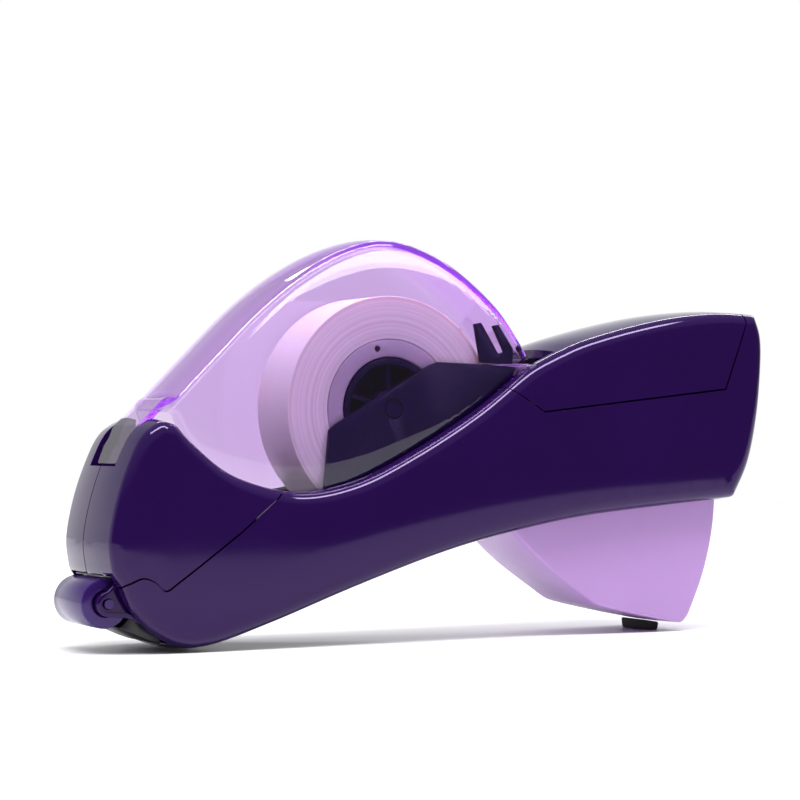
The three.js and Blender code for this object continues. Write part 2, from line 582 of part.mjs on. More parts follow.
place('tape_core', tapeCore, paint(0xe2d6f0, 0.4));
place('tape_roll', tapeRoll, paint(0xe6d2e4, 0.25));
place('tape_lead', tapeLead, paint(0xe6d2e4, 0.25));
place('trigger', trigger, paint(0xc194e0, 0.4));
place('trigger_foot', triggerFoot, paint(BLACK, 0.7));
place('trigger_pin', rod(TRIGGER_PIVOT, PIN_RADIUS, -INNER_HALF + 0.3, INNER_HALF - 0.3),
  paint(STEEL, 0.3, 1));
place('trigger_spring', triggerSpring, paint(STEEL, 0.3, 1));
place('compound_gear', compoundGear, paint(0xe8e6e0, 0.5));
idlerGears.forEach((piece, i) => place(`idler_gear_${i + 1}`, piece, paint(0xe8e6e0, 0.5)));
gearPins.forEach((piece, i) => place(`gear_pin_${i + 1}`, piece, paint(STEEL, 0.3, 1)));
place('feed_pinion', feedPinion, paint(0xe8e6e0, 0.5));
place('feed_axle', feedAxle, paint(STEEL, 0.3, 1));
place('feed_roller_core', feedCore, paint(BLACK, 0.5));
place('feed_roller_tyre', feedTyre, paint(0x3a3a3e, 0.85));
place('press_roller', pressRoller, paint(0x3b1a70, 0.35));
place('press_roller_axle', pressAxle, paint(PURPLE, 0.25));
place('left_roller_arm', rollerArm(-1), paint(PURPLE, 0.25));
place('right_roller_arm', rollerArm(1), paint(PURPLE, 0.25));
place('nose_block', noseBlock, paint(BLACK, 0.4));
place('cutter_carrier', cutterCarrier, paint(BLACK, 0.5));
place('cutter_blade', cutterBlade, paint(STEEL, 0.25, 1));
place('cutter_pin', rod(CUTTER_PIVOT, PIN_RADIUS, -PLATE_OUT, PLATE_OUT), paint(STEEL, 0.3, 1));
place('cutter_spring', cutterSpring, paint(STEEL, 0.3, 1));
SCREW_PLACES.forEach((at, i) => {
  const screw = rod(at, SCREW_RADIUS, -SCREW_TIP, SCREW_SEAT + 0.5, 12)
    .add(rod(at, SCREW_HEAD_RADIUS, SCREW_SEAT, SCREW_SEAT + SCREW_HEAD_HEIGHT, 16));
  place(`body_screw_${i + 1}`, screw, paint(STEEL, 0.35, 1));
});

export default dispenser;
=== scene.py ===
"""Looks of a hand-held tape dispenser: glossy purple shells, a clear lilac cover over the roll,
a lilac trigger and a nose roller. Laid out as a Blender add-on and run as a script."""
import json
import math

import bmesh
import bpy
import numpy as np
from bpy.props import FloatProperty, FloatVectorProperty, PointerProperty
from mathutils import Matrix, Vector
from mathutils.geometry import delaunay_2d_cdt


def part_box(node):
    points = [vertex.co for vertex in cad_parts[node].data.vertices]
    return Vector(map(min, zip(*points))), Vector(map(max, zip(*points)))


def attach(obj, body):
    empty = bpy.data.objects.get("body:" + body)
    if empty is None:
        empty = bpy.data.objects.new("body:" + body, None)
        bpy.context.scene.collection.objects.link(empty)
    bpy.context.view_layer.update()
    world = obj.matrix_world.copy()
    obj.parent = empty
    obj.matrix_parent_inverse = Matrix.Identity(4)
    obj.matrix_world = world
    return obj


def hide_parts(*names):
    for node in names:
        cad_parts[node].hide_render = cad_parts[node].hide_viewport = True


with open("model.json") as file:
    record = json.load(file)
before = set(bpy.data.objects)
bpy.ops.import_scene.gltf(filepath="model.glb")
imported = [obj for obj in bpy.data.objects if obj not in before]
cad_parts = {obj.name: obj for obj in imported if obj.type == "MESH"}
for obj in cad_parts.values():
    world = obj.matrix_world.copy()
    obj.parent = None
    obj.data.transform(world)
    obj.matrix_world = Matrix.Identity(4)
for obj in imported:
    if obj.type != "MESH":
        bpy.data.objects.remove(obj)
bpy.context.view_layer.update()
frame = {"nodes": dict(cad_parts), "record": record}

bl_info = {
    "name": "Hand-held tape dispenser",
    "version": (1, 0, 0),
    "blender": (4, 5, 0),
    "location": "3D View > Sidebar > Dispenser",
    "description": "Builds the shells, cover, trigger, roll and rollers of a tape dispenser",
    "category": "Object",
}

MM = 0.001

# ------------------------------------------------------------------ sizes from the frame, in mm
BODY_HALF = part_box("right_body_shell")[1].y / MM
BODY_WALL = 2.0
INNER_HALF = BODY_HALF - BODY_WALL
COVER_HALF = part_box("clear_cover")[1].y / MM
SIDE_GAP = 0.4
SLOT_HALF = COVER_HALF + SIDE_GAP
PLATE_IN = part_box("right_frame_plate")[0].y / MM
PLATE_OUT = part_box("right_frame_plate")[1].y / MM
TRIGGER_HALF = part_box("trigger")[1].y / MM
TAPE_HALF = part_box("tape_roll")[1].y / MM


def millimetres(length):
    """A length property in mm, without its single-precision tail."""
    return round(length / MM, 3)


def middle(node):
    """The (x, z) middle of a CAD node, in mm."""
    low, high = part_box(node)
    return (low.x + high.x) / 2 / MM, (low.z + high.z) / 2 / MM


def radius_of(node):
    """Half the X size of a round CAD node, in mm."""
    low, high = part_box(node)
    return (high.x - low.x) / 2 / MM


ROLL_CENTRE = middle("hub_axle")
ROLL_RADIUS = radius_of("tape_roll")
CORE_OUTER = radius_of("tape_core")
CORE_INNER = 12.7
PRESS_CENTRE = middle("press_roller")
PRESS_RADIUS = radius_of("press_roller")
PRESS_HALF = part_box("press_roller")[1].y / MM
TRIGGER_PIVOT = middle("trigger_pin")
TRIGGER_REACH = 64.8
COVER_PIVOT = middle("cover_hinge_pin")
PIN_RADIUS = radius_of("trigger_pin")

# ------------------------------------------------------------------ side outlines, (x, z) in mm
NOSE_FOOT = [(-85.3, 15), (-83, 10.3), (-78.3, 5), (-72.6, 1.4), (-67.5, 0)]
BELLY = [(-67.5, 0), (-60, 1.1), (-45, 5.9), (-25, 13.1), (-3, 20.3), (14, 24.6), (36, 28.7),
         (60, 31.2), (83, 33.2)]
REAR = [(83, 33.2), (87.8, 42.6), (90.7, 55), (92, 68), (91.8, 76), (89.6, 82)]
HANDLE_TOP = [(89.6, 82), (78, 82.3), (65, 81), (52, 78.4), (38, 74.6), (29, 71)]
RIM = [(29, 71), (21.4, 67), (7.4, 56.8), (-9, 47.2), (-25, 39.9), (-40.6, 37.5),
       (-55.9, 41.3), (-65.9, 48.5), (-70.6, 53.4)]
FACE = [(-75, 54.4), (-80, 50.6), (-83.8, 43), (-86.6, 34.5), (-88.2, 25.5), (-87.3, 17.9)]
NOSE_SPLIT = [(-83.6, 16.2), (-80, 17.6), (-77, 16.6), (-74.4, 14.6), (-71, 16.7), (-66, 20.2)]
NOSE_SPLIT_END = [(-56, 27.5), (-44.2, 37.2)]
CAP_SEAM = [(14.9, 62.3), (25.4, 56), (78.5, 62), (85, 78.6)]
COVER_TOP = [(25.6, 68.9), (21.2, 75.4), (15.5, 82.5), (4.4, 91.3), (-6.5, 96.4),
             (-17, 97.8), (-27.7, 94.8), (-38.5, 88.8), (-49, 80.6), (-60, 69.9), (-72.6, 57.2)]
COVER_SKIRT_DROP = 4.0


# ------------------------------------------------------------------ curves
def spline(points, step):
    """A Catmull-Rom run through the points, about step mm apart, without its last point."""
    p = np.array([points[0], *points, points[-1]], float)
    p[0] = 2 * p[1] - p[2]
    p[-1] = 2 * p[-2] - p[-3]
    out = []
    for a, b, c, d in zip(p[:-3], p[1:-2], p[2:-1], p[3:]):
        count = max(1, int(round(np.linalg.norm(c - b) / step)))
        for t in np.arange(count) / count:
            out.append(0.5 * (2 * b + (c - a) * t + (2 * a - 5 * b + 4 * c - d) * t ** 2
                              + (3 * b - a - 3 * c + d) * t ** 3))
    return [tuple(q) for q in out]


def resample(points, step):
    """A closed outline with its points evenly step mm apart."""
    p = np.array(points + [points[0]], float)
    run = np.concatenate([[0], np.cumsum(np.linalg.norm(np.diff(p, axis=0), axis=1))])
    at = np.linspace(0, run[-1], int(run[-1] / step), endpoint=False)
    return np.column_stack([np.interp(at, run, p[:, 0]), np.interp(at, run, p[:, 1])])


def soften(p, reach, step):
    """Rounds an outline's corners by averaging along it over reach mm each way."""
    width = int(reach / step)
    for _ in range(2):
        p = sum(np.roll(p, k, axis=0) for k in range(-width, width + 1)) / (2 * width + 1)
    return p


def arc(centre, radius, start, stop, pieces):
    """Points on a circle, from one angle to another in degrees."""
    angles = np.radians(np.linspace(start, stop, pieces + 1))
    return [(centre[0] + radius * math.cos(a), centre[1] + radius * math.sin(a)) for a in angles]


def inset(points, amount):
    """Moves each point of a counter-clockwise outline inwards."""
    p = np.asarray(points, float)
    along = np.roll(p, -1, axis=0) - np.roll(p, 1, axis=0)
    along /= np.linalg.norm(along, axis=1)[:, None]
    return p + amount * np.column_stack([-along[:, 1], along[:, 0]])


# ------------------------------------------------------------------ crowned skins
class Skin:
    """A moulded slab's outer surface: a side outline whose edges roll over to gently domed sides.

    Depth is the distance in from the outline. The profile gives the half width at each depth."""

    def __init__(self, outline, half, edge, crown, dome, dome_depth, step=0.8, corner=1.2):
        self.step = step
        self.outline = soften(resample(outline, step / 2), corner, step / 2)[::2]
        self.half, self.dome, self.dome_depth = half, dome, dome_depth
        lean = math.atan(2 * dome / dome_depth)
        top = half - dome
        guess = top - edge
        roll = math.atan(2 * crown / guess)
        centre_y = top - edge * math.cos(lean)
        band_y = centre_y + edge * math.sin(roll)
        centre_d = crown + edge * math.cos(roll)
        band = np.linspace(0, band_y, 7)
        angles = np.linspace(roll, math.pi / 2 - lean, 16)[1:]
        self.depth = np.concatenate([crown * (band / band_y) ** 2, centre_d - edge * np.cos(angles)])
        self.width = np.concatenate([band, centre_y + edge * np.sin(angles)])
        self.band_rings = len(band)

    def side_width(self, depth):
        """Half width at depths beyond the rolled edge."""
        d1 = self.depth[-1]
        u = np.clip((depth - d1) / self.dome_depth, 0, 1)
        side = self.width[-1] + self.dome * (1 - (1 - u) ** 2)
        return np.where(depth < d1, np.interp(depth, self.depth[self.band_rings - 1:],
                                              self.width[self.band_rings - 1:]), side)

    def reach(self, points):
        """For each (x, z): the depth, positive inside, and the direction in which it grows."""
        a = self.outline
        b = np.roll(a, -1, axis=0)
        edge = b - a
        long = (edge ** 2).sum(1)
        depth = np.empty(len(points))
        inward = np.empty((len(points), 2))
        for i in range(0, len(points), 2000):
            q = points[i:i + 2000, None, :]
            t = np.clip(((q - a) * edge).sum(2) / long, 0, 1)
            gap = q - (a + t[..., None] * edge)
            far = np.linalg.norm(gap, axis=2)
            near = far.argmin(1)
            row = np.arange(len(near))
            normal = np.column_stack([-edge[near, 1], edge[near, 0]])
            normal /= np.linalg.norm(normal, axis=1)[:, None]
            side = np.sign((gap[row, near] * normal).sum(1))
            depth[i:i + 2000] = far[row, near] * np.where(side == 0, 1, side)
            away = gap[row, near] * side[:, None]
            size = far[row, near]
            blend = np.clip(size / 0.4, 0, 1)[:, None]
            unit = away / np.maximum(size, 1e-9)[:, None]
            mixed = unit * blend + normal * (1 - blend)
            inward[i:i + 2000] = mixed / np.maximum(np.linalg.norm(mixed, axis=1), 1e-9)[:, None]
        return depth, inward

    def normals(self, verts):
        """Each vertex's distance from this surface and the surface's normal there."""
        depth, inward = self.reach(verts[:, [0, 2]])
        y = np.abs(verts[:, 1])
        d1 = self.depth[-1]
        flat = depth > d1
        u = np.clip((depth - d1) / self.dome_depth, 0, 1)
        side_gap = np.abs(y - self.side_width(depth))
        slope = 2 * self.dome / self.dome_depth * (1 - u)
        curve = np.column_stack([self.depth, self.width])
        a, b = curve[:-1], curve[1:]
        q = np.column_stack([depth, y])[:, None, :]
        t = np.clip(((q - a) * (b - a)).sum(2) / ((b - a) ** 2).sum(1), 0, 1)
        far = np.linalg.norm(q - (a + t[..., None] * (b - a)), axis=2)
        near = far.argmin(1)
        row = np.arange(len(near))
        tangents = np.gradient(curve, axis=0)
        tangents /= np.linalg.norm(tangents, axis=1)[:, None]
        k = t[row, near][:, None]
        tangent = tangents[near] * (1 - k) + tangents[near + 1] * k
        n_depth = np.where(flat, -slope, -tangent[:, 1])
        n_width = np.where(flat, 1.0, tangent[:, 0])
        gap = np.where(flat, side_gap, far[row, near])
        n = np.column_stack([n_depth * inward[:, 0], n_width * np.sign(verts[:, 1]),
                             n_depth * inward[:, 1]])
        return gap, n / np.linalg.norm(n, axis=1)[:, None]

    def mesh(self):
        """The closed solid inside this skin, as vertices in mm and faces."""
        base = inset(self.outline, 0)
        count = len(base)
        rings = [(self.depth[k], self.width[k]) for k in range(self.band_rings)]
        verts, faces = [], []
        ys = [-w for _, w in reversed(rings)] + [w for _, w in rings[1:]]
        depths = [d for d, _ in reversed(rings)] + [d for d, _ in rings[1:]]
        for y, d in zip(ys, depths):
            verts += [(x, y, z) for x, z in inset(base, d)]
        for r in range(len(ys) - 1):
            for i in range(count):
                j = (i + 1) % count
                faces.append((r * count + i, r * count + j, (r + 1) * count + j, (r + 1) * count + i))
        edge_ring = inset(base, rings[-1][0])
        points = [edge_ring]
        for d in self.depth[self.band_rings:]:
            ring = inset(base, d)
            points.append(ring[self.reach(ring)[0] > d - 0.03])
        low, high = base.min(0), base.max(0)
        pitch = self.step * 2
        gx, gz = np.meshgrid(np.arange(low[0], high[0], pitch), np.arange(low[1], high[1], pitch))
        grid = np.column_stack([gx.ravel(), gz.ravel()])
        points.append(grid[self.reach(grid)[0] > self.depth[-1] + pitch * 0.6])
        flat = np.concatenate(points)
        loop = [(i, (i + 1) % count) for i in range(count)]
        found, _, tris, origin, _, _ = delaunay_2d_cdt([Vector(p) for p in flat], loop, [], 1, 1e-6)
        found = np.array([tuple(v) for v in found])
        depth, _ = self.reach(found)
        width = self.side_width(np.maximum(depth, rings[-1][0]))
        for sign, ring_start in ((-1, 0), (1, (len(ys) - 1) * count)):
            index = []
            for k, (x, z) in enumerate(found):
                own = [o for o in origin[k] if o < count]
                if own:
                    index.append(ring_start + own[0])
                else:
                    index.append(len(verts))
                    verts.append((x, sign * width[k], z))
            for tri in tris:
                ids = [index[t] for t in tri]
                faces.append(ids if sign < 0 else ids[::-1])
        return verts, faces


# ------------------------------------------------------------------ objects
def face_out(data):
    """Merges doubled points and turns every face of a closed mesh outwards."""
    bm = bmesh.new()
    bm.from_mesh(data)
    bmesh.ops.remove_doubles(bm, verts=bm.verts, dist=1e-7)
    bmesh.ops.recalc_face_normals(bm, faces=bm.faces)
    if bm.calc_volume(signed=True) < 0:
        bmesh.ops.reverse_faces(bm, faces=bm.faces)
    bm.to_mesh(data)
    bm.free()


def make(name, verts, faces):
    """A mesh object from vertices in mm."""
    data = bpy.data.meshes.new(name)
    data.from_pydata([(x * MM, y * MM, z * MM) for x, y, z in verts], [], faces)
    face_out(data)
    piece = bpy.data.objects.new(name, data)
    bpy.context.scene.collection.objects.link(piece)
    return piece


def prism(name, points, y0, y1):
    """A side outline made solid between two widths."""
    count = len(points)
    verts = [(x, y0, z) for x, z in points] + [(x, y1, z) for x, z in points]
    faces = [list(range(count)), list(range(2 * count - 1, count - 1, -1))]
    faces += [(i, i + count, (i + 1) % count + count, (i + 1) % count) for i in range(count)]
    return make(name, verts, faces)


def lathe(name, centre, profile, segments=96):
    """A body turned about a line parallel to Y; the profile lists (radius, y) and closes itself."""
    verts, faces = [], []
    count = len(profile)
    for s in range(segments):
        a = 2 * math.pi * s / segments
        verts += [(centre[0] + r * math.cos(a), y, centre[1] + r * math.sin(a)) for r, y in profile]
    for s in range(segments):
        n = (s + 1) % segments
        for i in range(count):
            j = (i + 1) % count
            if profile[i][0] > 0 or profile[j][0] > 0:
                faces.append((s * count + i, s * count + j, n * count + j, n * count + i))
    return make(name, verts, faces)


DRILL = 20


def rod(name, centre, radius, half=DRILL, segments=48):
    """A round bar parallel to Y; at its default length it drills right through."""
    return lathe(name, centre, [(0, -half), (radius, -half), (radius, half), (0, half)], segments)


def bake(piece):
    """Applies a piece's modifiers."""
    graph = bpy.context.evaluated_depsgraph_get()
    data = bpy.data.meshes.new_from_object(piece.evaluated_get(graph))
    piece.modifiers.clear()
    piece.data = data
    return piece


def check_closed(piece):
    """Stops the script if a piece is open, since a Boolean on it would go wrong silently."""
    bm = bmesh.new()
    bm.from_mesh(piece.data)
    loose = [e for e in bm.edges if not e.is_manifold]
    at = tuple(round(v / MM, 1) for v in loose[0].verts[0].co) if loose else None
    bm.free()
    if loose:
        raise RuntimeError(f"{piece.name} is not closed: {len(loose)} edges, one at {at}")


def cut(piece, tool, how="DIFFERENCE"):
    """Cuts, joins or intersects a piece with another closed one, which is used up."""
    check_closed(piece)
    check_closed(tool)
    step = piece.modifiers.new("cut", "BOOLEAN")
    step.operation = how
    step.solver = "MANIFOLD"
    step.object = tool
    bake(piece)
    bpy.data.objects.remove(tool)
    return piece


def copy_of(piece, name):
    """A second piece with a mesh of its own."""
    twin = piece.copy()
    twin.data = piece.data.copy()
    twin.name = name
    bpy.context.scene.collection.objects.link(twin)
    return twin


def bevelled(piece, width, segments=3, angle=30):
    """Rounds a piece's sharp edges by width mm."""
    step = piece.modifiers.new("edge", "BEVEL")
    step.width = width * MM
    step.segments = segments
    step.limit_method = "ANGLE"
    step.angle_limit = math.radians(angle)
    step.harden_normals = False
    bake(piece)
    return smooth(piece, angle)


def smooth(piece, angle=30):
    """Shades a piece smooth, with edges sharper than the angle left crisp."""
    piece.data.shade_smooth()
    piece.data.set_sharp_from_angle(angle=math.radians(angle))
    return piece


def skin_normals(piece, skins):
    """Gives the faces that lie on a skin its exact normals; a skin's sign is -1 on an inner wall."""
    data = piece.data
    verts = np.empty(len(data.vertices) * 3)
    data.vertices.foreach_get("co", verts)
    verts = verts.reshape(-1, 3) / MM
    found = [(sign, *skin.normals(verts)) for skin, sign in skins]
    normals = []
    for face in data.polygons:
        own = np.array(face.normal)
        ids = list(face.vertices)
        chosen = None
        for sign, gap, n in found:
            if gap[ids].max() < 0.08 and (n[ids] @ own * sign).min() > 0.6:
                chosen = n[ids] * sign
                break
        if chosen is None:
            chosen = np.tile(own, (len(ids), 1))
        normals.extend(map(tuple, chosen))
    data.shade_smooth()
    data.normals_split_custom_set(normals)
    return piece


def settle(piece, body, slot, finish, *nodes):
    """Gives a finished piece its finish, hangs it under its body's empty and hides the CAD nodes it stands
    for.
    """
    piece.data.materials.clear()
    piece.data.materials.append(finish)
    if nodes:
        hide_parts(*nodes)
    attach(piece, body)
    return piece


# ------------------------------------------------------------------ materials
def linear(hex_colour):
    """An sRGB hex colour as linear RGBA."""
    values = [int(hex_colour[i:i + 2], 16) / 255 for i in (1, 3, 5)]
    return (*[v / 12.92 if v <= 0.04045 else ((v + 0.055) / 1.055) ** 2.4 for v in values], 1.0)


def add(tree, kind, settings=None, **links):
    """Adds a node. Settings name its properties, its sockets (by name or number) or its ramp's
    stops; links name its inputs, with input_N for a number."""
    made = tree.nodes.new(kind)
    for key, value in (settings or {}).items():
        if key == "stops":
            marks = made.color_ramp.elements
            marks[0].position, marks[0].color = value[0]
            marks[1].position, marks[1].color = value[-1]
            for place, colour in value[1:-1]:
                marks.new(place).color = colour
        elif isinstance(key, str) and hasattr(made, key):
            setattr(made, key, value)
        else:
            made.inputs[key].default_value = value
    for key, source in links.items():
        slot = int(key[6:]) if key.startswith("input_") else key.replace("_", " ")
        tree.links.new(source, made.inputs[slot])
    return made


def material(name, build):
    """The material of that name, built the first time it is asked for."""
    made = bpy.data.materials.get(name)
    if made is None:
        made = bpy.data.materials.new(name)
        made.use_nodes = True
        made.node_tree.nodes.clear()
        build(made.node_tree)
    return made


def per_metre(size_mm):
    """Noise scale for features of a given size."""
    return 1 / (size_mm * MM)


FLOW_MM = 30
POLISH_MM = 6
POLISH_SPREAD = 0.15


def plastic(tree, base, rough, grain_mm, grain_depth, tone=0.06, **more):
    """Moulded plastic: a faint flow tone, uneven polish and a fine skin from the mould.

    Base is linear, and more holds further settings of the shader."""
    place = add(tree, "ShaderNodeTexCoord")
    flow = add(tree, "ShaderNodeTexNoise", {"Scale": per_metre(FLOW_MM), "Detail": 2.0},
               Vector=place.outputs["Object"])
    low = tuple(c * (1 - tone) for c in base[:3]) + (1,)
    high = tuple(min(1, c * (1 + tone)) for c in base[:3]) + (1,)
    colour = add(tree, "ShaderNodeValToRGB", {"stops": [(0.3, low), (0.7, high)]},
                 Fac=flow.outputs["Fac"])
    polish = add(tree, "ShaderNodeTexNoise", {"Scale": per_metre(POLISH_MM), "Detail": 3.0},
                 Vector=place.outputs["Object"])
    sheen = add(tree, "ShaderNodeMapRange", {"To Min": rough * (1 - POLISH_SPREAD),
                "To Max": rough * (1 + POLISH_SPREAD)}, Value=polish.outputs["Fac"])
    grain = add(tree, "ShaderNodeTexNoise", {"Scale": per_metre(grain_mm), "Detail": 2.0},
                Vector=place.outputs["Object"])
    bump = add(tree, "ShaderNodeBump", {"Strength": 1.0, "Distance": grain_depth * MM},
               Height=grain.outputs["Fac"])
    shader = add(tree, "ShaderNodeBsdfPrincipled", {"IOR": 1.54, **more},
                 Base_Color=colour.outputs["Color"], Roughness=sheen.outputs["Result"],
                 Normal=bump.outputs["Normal"])
    add(tree, "ShaderNodeOutputMaterial", Surface=shader.outputs["BSDF"])


# High-gloss moulded ABS in dark purple: a polished mould gives mirror-like edges and a faint ripple.
def gloss_purple(tree):
    plastic(tree, bpy.context.scene.dispenser_shells.colour, 0.06, 9.0, 0.004,
            **{"Specular Tint": (0.78, 0.58, 1.0, 1.0), "Specular IOR Level": 0.36})


# Satin moulded ABS in the same purple, used inside: a lightly sparked mould dulls its reflections.
def satin_purple(tree):
    plastic(tree, linear("#13062B"), 0.22, 4.0, 0.001, **{"Specular IOR Level": 0.06})


# Satin moulded ABS in lilac: opaque, softly scattering, with broad dull highlights.
def satin_lilac(tree):
    plastic(tree, bpy.context.scene.dispenser_trigger.colour, 0.33, 0.9, 0.003, 0.03,
            **{"Subsurface Weight": 0.12, "Subsurface Scale": 0.002})


# Glossy purple plastic turned by many hands: the nose roller, a little duller than the shells.
def roller_purple(tree):
    plastic(tree, linear("#2C1158"), 0.16, 2.0, 0.002, **{"Specular Tint": (0.8, 0.65, 1.0, 1.0)})


# Satin black ABS: swallows light inside the mouth.
def satin_black(tree):
    plastic(tree, linear("#100C18"), 0.32, 0.5, 0.008)


# Greyish polystyrene core ring, a little see-through: soft and even beside the bright film.
def core_grey(tree):
    plastic(tree, linear("#887C8E"), 0.35, 0.6, 0.006, 0.02,
            **{"Subsurface Weight": 0.2, "Subsurface Scale": 0.003})


# Natural acetal, moulded into gears: creamy, with a dry sheen.
def acetal(tree):
    plastic(tree, linear("#E6E3DA"), 0.4, 0.4, 0.006, 0.02)


# Black rubber: matte with a fine tooth.
def rubber(tree):
    plastic(tree, linear("#1B1A1E"), 0.75, 0.3, 0.03)


# Clear moulded polystyrene with a lilac dye: the tint deepens wherever light runs along the wall.
def clear_lilac(tree):
    place = add(tree, "ShaderNodeTexCoord")
    ripple = add(tree, "ShaderNodeTexNoise", {"Scale": per_metre(14), "Detail": 1.0},
                 Vector=place.outputs["Object"])
    bump = add(tree, "ShaderNodeBump", {"Strength": 1.0, "Distance": 0.002 * MM},
               Height=ripple.outputs["Fac"])
    shader = add(tree, "ShaderNodeBsdfPrincipled",
                 {"Base Color": linear("#F9F2FF"), "Roughness": 0.015, "IOR": 1.04,
                  "Transmission Weight": 1.0, "Coat Weight": 1.0, "Coat Roughness": 0.02},
                 Normal=bump.outputs["Normal"])
    dye = add(tree, "ShaderNodeVolumeAbsorption",
              {"Color": (*bpy.context.scene.dispenser_cover.colour, 1), "Density": 150.0})
    add(tree, "ShaderNodeOutputMaterial", Surface=shader.outputs["BSDF"],
        Volume=dye.outputs["Volume"])


# Wound clear film: each turn catches the light as a faint ring on the roll's side.
def wound_film(tree):
    place = add(tree, "ShaderNodeTexCoord")
    shift = add(tree, "ShaderNodeMapping",
                {"Location": (-ROLL_CENTRE[0] * MM, 0, -ROLL_CENTRE[1] * MM)},
                Vector=place.outputs["Object"])
    flat = add(tree, "ShaderNodeVectorMath", {"operation": "MULTIPLY", 1: (1, 0, 1)},
               input_0=shift.outputs["Vector"])
    reach = add(tree, "ShaderNodeVectorMath", {"operation": "LENGTH"}, Vector=flat.outputs["Vector"])
    turns = add(tree, "ShaderNodeMath", {"operation": "MULTIPLY", 1: per_metre(1.6)},
                input_0=reach.outputs["Value"])
    wide = add(tree, "ShaderNodeTexNoise", {"noise_dimensions": "1D", "Scale": 2.0, "Detail": 6.0},
               W=turns.outputs["Value"])
    tones = [(0.3, linear("#C2B9BE")), (0.5, linear("#D0C8CC")), (0.7, linear("#DCD5D9"))]
    colour = add(tree, "ShaderNodeValToRGB", {"stops": tones}, Fac=wide.outputs["Fac"])
    bump = add(tree, "ShaderNodeBump", {"Strength": 0.5, "Distance": 0.02 * MM},
               Height=wide.outputs["Fac"])
    shader = add(tree, "ShaderNodeBsdfPrincipled",
                 {"Roughness": 0.45, "Specular IOR Level": 0.3, "Transmission Weight": 0.35,
                  "Subsurface Weight": 0.35, "Subsurface Scale": 0.004},
                 Base_Color=colour.outputs["Color"], Normal=bump.outputs["Normal"])
    add(tree, "ShaderNodeOutputMaterial", Surface=shader.outputs["BSDF"])


# Bright drawn and ground steel: fine lines round the wire and pins.
def steel(tree):
    place = add(tree, "ShaderNodeTexCoord")
    lines = add(tree, "ShaderNodeTexNoise", {"Scale": per_metre(0.4), "Detail": 4.0},
                Vector=place.outputs["Object"])
    rough = add(tree, "ShaderNodeMapRange", {"To Min": 0.22, "To Max": 0.36},
                Value=lines.outputs["Fac"])
    shader = add(tree, "ShaderNodeBsdfPrincipled",
                 {"Base Color": linear("#B9BCC2"), "Metallic": 1.0}, Roughness=rough.outputs["Result"])
    add(tree, "ShaderNodeOutputMaterial", Surface=shader.outputs["BSDF"])


# Matt studio sweep in near-white.
def studio_white(tree):
    place = add(tree, "ShaderNodeTexCoord")
    tone = add(tree, "ShaderNodeTexNoise", {"Scale": 3.0, "Detail": 2.0},
               Vector=place.outputs["Object"])
    tones = [(0.3, (0.86, 0.86, 0.87, 1)), (0.7, (0.88, 0.88, 0.89, 1))]
    colour = add(tree, "ShaderNodeValToRGB", {"stops": tones}, Fac=tone.outputs["Fac"])
    shader = add(tree, "ShaderNodeBsdfPrincipled", {"Roughness": 0.35, "Specular IOR Level": 0.3},
                 Base_Color=colour.outputs["Color"])
    add(tree, "ShaderNodeOutputMaterial", Surface=shader.outputs["BSDF"])


FINISHES = {
    "gloss purple ABS, moulded": gloss_purple,
    "satin purple ABS, moulded": satin_purple,
    "satin lilac ABS, moulded": satin_lilac,
    "purple roller plastic, moulded": roller_purple,
    "satin black ABS, moulded": satin_black,
    "core polystyrene, moulded": core_grey,
    "acetal, moulded": acetal,
    "black rubber, moulded": rubber,
    "clear lilac polystyrene, moulded": clear_lilac,
    "adhesive film, wound": wound_film,
    "steel, drawn": steel,
    "studio sweep, matt": studio_white,
}


def finish_of(name):
    return material(name, FINISHES[name])


NODE_FINISHES = {
    "purple_plastic": "gloss purple ABS, moulded",
    "satin_purple_plastic": "satin purple ABS, moulded",
    "clear_lilac_plastic": "clear lilac polystyrene, moulded",
    "lilac_plastic": "satin lilac ABS, moulded",
    "core_plastic": "core polystyrene, moulded",
    "tape_film": "adhesive film, wound",
    "gear_plastic": "acetal, moulded",
    "steel": "steel, drawn",
    "black_plastic": "satin black ABS, moulded",
    "roller_plastic": "purple roller plastic, moulded",
    "rubber": "black rubber, moulded",
}


# ------------------------------------------------------------------ housing shells
def body_skin():
    outline = (spline(NOSE_FOOT, 0.8) + spline(BELLY, 0.8) + spline(REAR, 0.8)
               + spline(HANDLE_TOP, 0.8) + spline(RIM, 0.8) + [RIM[-1]] + spline(FACE, 0.8)
               + [FACE[-1]])
    return Skin(outline, BODY_HALF, 3.4, 0.9, 0.2, 9.0, step=0.8)


def hollow_body(skin):
    body = make("body", *skin.mesh())
    cut(body, prism("cavity", inset(skin.outline, BODY_WALL), -INNER_HALF, INNER_HALF))
    drop = COVER_SKIRT_DROP + 1
    floor = [(x, z - drop) for x, z in spline(RIM, 1.0) if x > -70]
    slot = [(30.5, 120), (-71.6, 120), (-71.6, 48.6), *floor[::-1], (30.5, 62)]
    cut(body, prism("slot", slot, -SLOT_HALF, SLOT_HALF))
    tab_half = 8 + SIDE_GAP
    cut(body, prism("notch", [(-95, 42.9), (-78, 42.9), (-70, 52), (-70, 62), (-95, 62)],
                    -tab_half, tab_half))
    cut(body, prism("mouth", [(-95, 18.2), (-81.5, 18.2), (-72.2, 8), (-72.2, -3), (-95, -3)],
                    -SLOT_HALF, SLOT_HALF))
    rear = TRIGGER_PIVOT[0] + TRIGGER_REACH + 1.4
    cut(body, prism("opening", [(15.2, 18), (rear, 18), (rear, 38), (15.2, 33)],
                    -TRIGGER_HALF - 0.6, TRIGGER_HALF + 0.6))
    return body


def split_line(dx=0.0, dz=0.0):
    line = [(-85.9, 14.4), (-85.3, 15), *spline(NOSE_SPLIT, 0.5), *NOSE_SPLIT_END]
    return [(x + dx, z + dz) for x, z in line]


